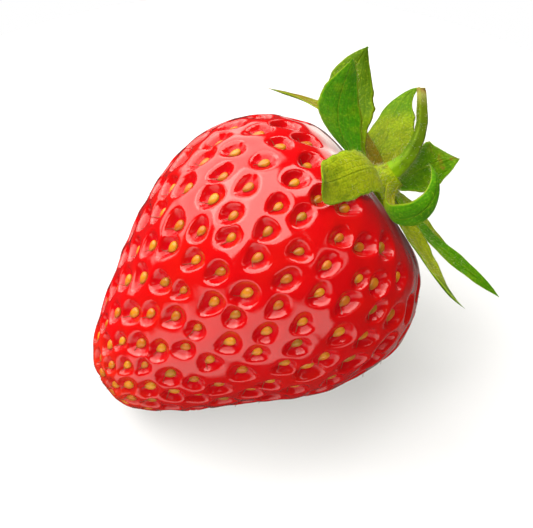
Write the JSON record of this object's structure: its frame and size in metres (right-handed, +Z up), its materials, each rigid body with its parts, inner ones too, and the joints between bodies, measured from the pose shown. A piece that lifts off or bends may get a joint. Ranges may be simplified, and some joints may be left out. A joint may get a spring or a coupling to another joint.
{
  "type": "strawberry",
  "caption": "Ripe red strawberry lying on its side, with a green calyx of pointed leaves and a short bent stem.",
  "frame": {"origin": "centre of the small flat spot that the fruit rests on, on the surface it lies on", "axes": "+Z up from the surface, +X from the tip towards the calyx end, +Y towards the side away from the near shoulder leaf"},
  "size_m": [0.054, 0.0446, 0.0478],
  "materials": {
    "flesh": "glossy wet-looking red skin, paler orange-pink at the tip",
    "calyx": "pale yellow-green, finely hairy",
    "stem": "yellow-green, olive towards a dry cut end, finely hairy",
    "leaf": "green with a paler hairy underside and fine veins"
  },
  "bodies": {
    "root": {"fruit": "flesh", "calyx_disc": "calyx", "stem": "stem", "sepal_1": "leaf", "sepal_2": "leaf", "sepal_3": "leaf", "sepal_4": "leaf", "sepal_5": "leaf", "sepal_6": "leaf", "sepal_7": "leaf", "sepal_8": "leaf", "sepal_9": "leaf", "sepal_10": "leaf"}
  },
  "joints": []
}
